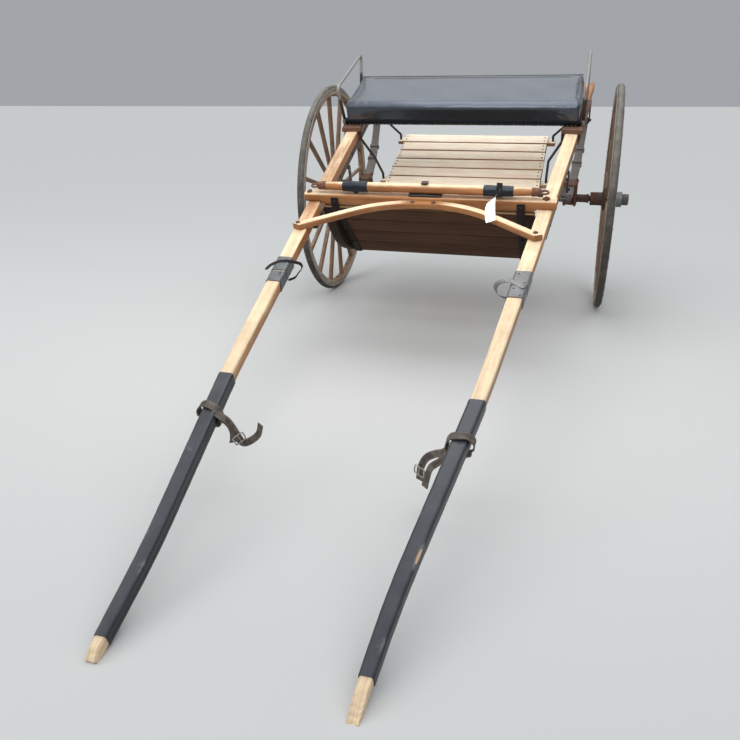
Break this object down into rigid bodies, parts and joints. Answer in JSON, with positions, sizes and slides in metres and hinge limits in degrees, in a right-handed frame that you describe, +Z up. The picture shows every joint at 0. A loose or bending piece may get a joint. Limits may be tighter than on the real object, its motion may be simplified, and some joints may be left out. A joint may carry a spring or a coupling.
{
  "type": "two-wheeled horse road cart",
  "caption": "Two-wheeled wooden road cart for one horse, with a padded bench seat, slatted floor, leaf springs, swingletree and long sleeved shafts, parked on its shaft tips.",
  "frame": {"origin": "on the ground, under the middle of the whole length and width, with the cart parked on its wheels and shaft tips", "axes": "+Z up, -Y forward to the shaft tips, +X to the side that is on the right when the cart is seen from its tips"},
  "size_m": [1.722, 3.6374, 1.291],
  "materials": {
    "grey_steel": "grey steel channel, worn",
    "solid_rubber": "solid rubber, dusty grey",
    "varnished_wood": "varnished ash, worn and sun-bleached",
    "weathered_wood": "bare weathered slats",
    "dark_wood": "dark stained boards",
    "black_vinyl": "black vinyl, satin",
    "brown_leather": "brown harness leather, cracked",
    "grey_paint": "grey painted steel, dusty",
    "rusty_iron": "brown rusty iron",
    "black_iron": "black painted iron, worn",
    "black_tape": "black wrapping"
  },
  "bodies": {
    "frame": {"axle": "rusty_iron", "crossbar": "varnished_wood", "bow_brace": "varnished_wood", "pivot_plate": "black_iron", "toe_board": "dark_wood", "toe_ribs": "dark_wood", "floor_slats": "weathered_wood", "floor_bearers": "weathered_wood", "floor_stays": "black_iron", "body_straps": "black_iron", "seat_brackets": "rusty_iron", "seat_board": "dark_wood", "seat_cushion": "black_vinyl", "shaft_left": "varnished_wood", "shaft_right": "varnished_wood", "shaft_sleeve_left": "black_vinyl", "shaft_sleeve_right": "black_vinyl", "side_rail_left": "grey_paint", "side_rail_right": "grey_paint", "leaf_spring_left": "grey_paint", "leaf_spring_right": "grey_paint", "spring_hangers_left": "black_iron", "spring_hangers_right": "black_iron", "axle_clip_left": "rusty_iron", "axle_clip_right": "rusty_iron", "arm_rail_left": "black_iron", "arm_rail_right": "black_iron", "shaft_clip_left": "grey_paint", "shaft_clip_right": "grey_paint", "leather_tug_left": "brown_leather", "leather_tug_right": "brown_leather"},
    "wheel_left": {"tyre_left": "solid_rubber", "tyre_channel_left": "grey_steel", "wheel_felloe_left": "varnished_wood", "wheel_spokes_left": "varnished_wood", "wheel_hub_left": "rusty_iron", "hub_cap_left": "rusty_iron"},
    "wheel_right": {"tyre_right": "solid_rubber", "tyre_channel_right": "grey_steel", "wheel_felloe_right": "varnished_wood", "wheel_spokes_right": "varnished_wood", "wheel_hub_right": "rusty_iron", "hub_cap_right": "rusty_iron"},
    "swingletree": {"swingletree_bar": "varnished_wood", "swingletree_ferrules": "black_iron", "swingletree_wraps": "black_tape"}
  },
  "joints": [
    {"name": "wheel_left_spin", "type": "hinge", "parent": "frame", "child": "wheel_left", "pos_m": [-0.759, 1.2487, 0.57], "axis": [1, 0, 0], "continuous": true},
    {"name": "wheel_right_spin", "type": "hinge", "parent": "frame", "child": "wheel_right", "pos_m": [0.759, 1.2487, 0.57], "axis": [1, 0, 0], "continuous": true},
    {"name": "swingletree_pivot", "type": "hinge", "parent": "frame", "child": "swingletree", "pos_m": [0, 0.18034, 0.74668], "axis": [0, -0.3118, 0.9501], "range_deg": [-20, 20]}
  ]
}
